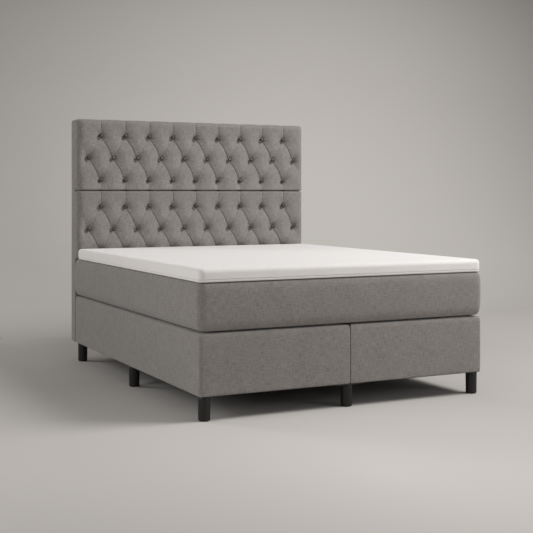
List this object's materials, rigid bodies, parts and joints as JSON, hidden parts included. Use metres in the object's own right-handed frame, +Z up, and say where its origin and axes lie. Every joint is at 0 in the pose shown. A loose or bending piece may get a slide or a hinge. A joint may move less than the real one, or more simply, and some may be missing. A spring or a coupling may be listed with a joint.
{
  "type": "box spring bed",
  "caption": "Double box spring bed with two upholstered base boxes, mattress, topper and a diamond-tufted upholstered headboard on round legs.",
  "frame": {"origin": "centre of the bed's bounding box on the floor, between the nine legs", "axes": "+X to the bed's right seen from the foot end, +Y from the foot end to the headboard, +Z up"},
  "size_m": [1.6, 2.082, 1.514],
  "materials": {
    "grey_cloth": "matte",
    "white_cloth": "matte",
    "black_cloth": "matte",
    "foam": "matte",
    "pocket_cloth": "matte",
    "pine": "matte",
    "plywood": "matte",
    "black_lacquer": "satin",
    "zinc_steel": "satin",
    "black_steel": "satin"
  },
  "bodies": {
    "bed": {"left_box_cover": "grey_cloth", "left_box_dust_cloth": "black_cloth", "left_box_top_pad": "foam", "left_box_springs": "pocket_cloth", "left_box_deck": "plywood", "left_box_outer_rail": "pine", "left_box_inner_rail": "pine", "left_box_foot_rail": "pine", "left_box_head_rail": "pine", "right_box_cover": "grey_cloth", "right_box_dust_cloth": "black_cloth", "right_box_top_pad": "foam", "right_box_springs": "pocket_cloth", "right_box_deck": "plywood", "right_box_outer_rail": "pine", "right_box_inner_rail": "pine", "right_box_foot_rail": "pine", "right_box_head_rail": "pine", "coupling_plate_foot": "black_steel", "leg_foot_left": "black_lacquer", "leg_foot_centre": "black_lacquer", "leg_foot_right": "black_lacquer", "coupling_plate_middle": "black_steel", "leg_middle_left": "black_lacquer", "leg_middle_centre": "black_lacquer", "leg_middle_right": "black_lacquer", "coupling_plate_head": "black_steel", "leg_head_left": "black_lacquer", "leg_head_centre": "black_lacquer", "leg_head_right": "black_lacquer", "headboard_cover": "grey_cloth", "headboard_rear_cloth": "black_cloth", "headboard_panel": "plywood", "headboard_left_post": "pine", "headboard_right_post": "pine", "headboard_foot_rail": "pine", "headboard_middle_rail": "pine", "headboard_top_rail": "pine", "headboard_bolt_left_inner": "zinc_steel", "headboard_bolt_left_outer": "zinc_steel", "headboard_bolt_right_inner": "zinc_steel", "headboard_bolt_right_outer": "zinc_steel", "lower_cushion_cover": "grey_cloth", "lower_cushion_foam": "foam", "lower_cushion_board": "plywood", "upper_cushion_cover": "grey_cloth", "upper_cushion_foam": "foam", "upper_cushion_board": "plywood"},
    "mattress": {"mattress_cover": "grey_cloth", "mattress_base_cloth": "black_cloth", "mattress_springs": "pocket_cloth", "mattress_edge_foam": "foam", "mattress_top_foam": "foam", "mattress_base_foam": "foam"},
    "topper": {"topper_cover": "white_cloth", "topper_core": "foam", "topper_base_cloth": "white_cloth"}
  },
  "joints": [
    {"name": "mattress_slide", "type": "slide", "parent": "bed", "child": "mattress", "axis": [0, -1, 0], "range_m": [0, 2.05]},
    {"name": "topper_lift", "type": "slide", "parent": "mattress", "child": "topper", "axis": [0, 0, 1], "range_m": [0, 0.9]}
  ]
}
